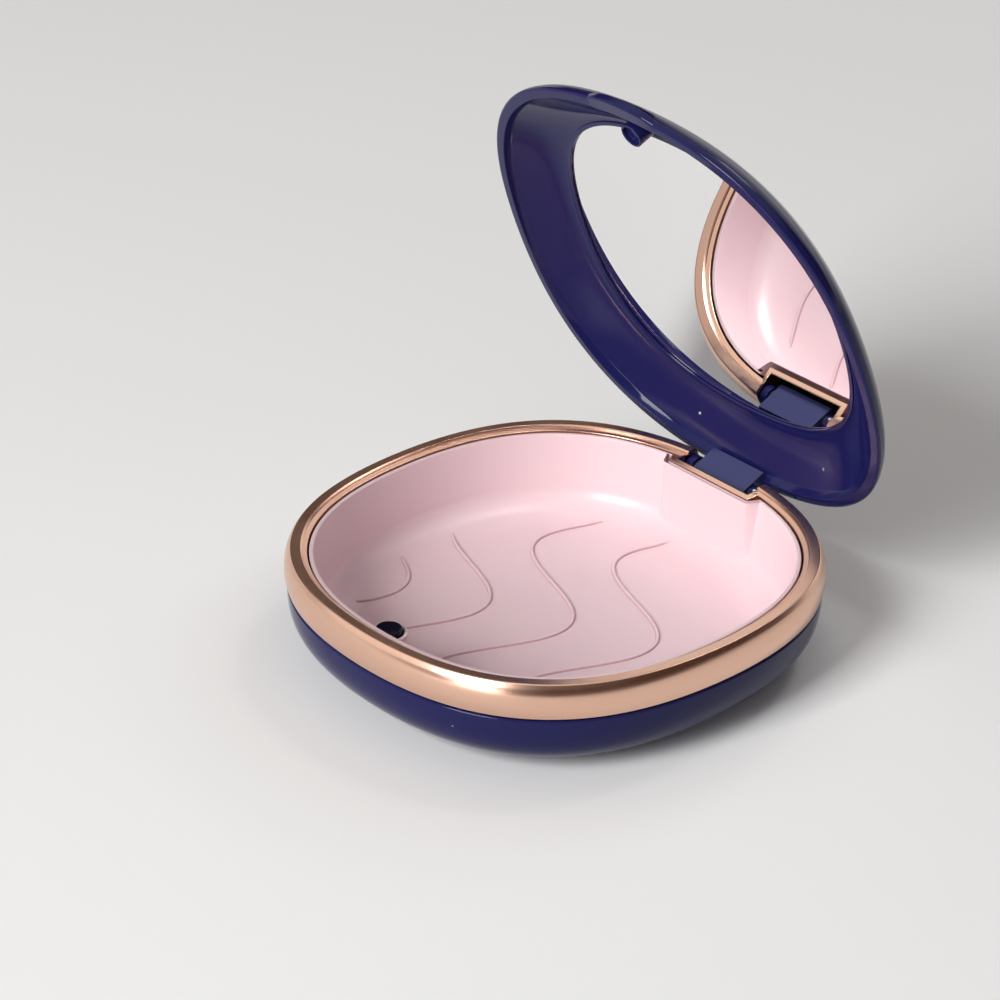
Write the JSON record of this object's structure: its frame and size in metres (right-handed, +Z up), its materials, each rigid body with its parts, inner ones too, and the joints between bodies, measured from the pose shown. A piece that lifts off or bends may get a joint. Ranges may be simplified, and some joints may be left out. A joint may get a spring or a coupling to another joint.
{
  "type": "retainer case",
  "caption": "Soft-cornered flip-top case for retainers or aligners, with a moulded tray, a metallic rim band and a mirror in the hinged lid.",
  "frame": {"origin": "centre of the flat underside that the case rests on", "axes": "+Z up, +Y towards the hinge, -Y towards the thumb lip, +X to the right when the thumb lip faces the user"},
  "size_m": [0.0846, 0.0908, 0.0949],
  "materials": {
    "navy_plastic": "polished navy, high gloss",
    "rose_gold_plating": "plastic ring plated in mirror-bright rose gold",
    "pink_plastic": "pale pink, satin to gloss",
    "mirror": "silvered behind, polished",
    "hinge_steel": "drawn, bright",
    "foam": "adhesive foam, matt",
    "magnet_nickel": "nickel plated"
  },
  "bodies": {
    "base": {"bottom_shell": "navy_plastic", "rim_band": "rose_gold_plating", "inner_tray": "pink_plastic", "base_magnet_post": "navy_plastic", "base_magnet": "magnet_nickel", "hinge_pin": "hinge_steel", "left_friction_washer": "hinge_steel", "right_friction_washer": "hinge_steel"},
    "lid": {"lid_shell": "navy_plastic", "lid_liner": "navy_plastic", "mirror_glass": "mirror", "mirror_foam_pad": "foam", "lid_magnet": "magnet_nickel"}
  },
  "joints": [
    {"name": "lid_hinge", "type": "hinge", "parent": "base", "child": "lid", "pos_m": [0, 0.04035, 0.0154], "axis": [-1, 0, 0], "range_deg": [-67.5, 32.5]}
  ]
}
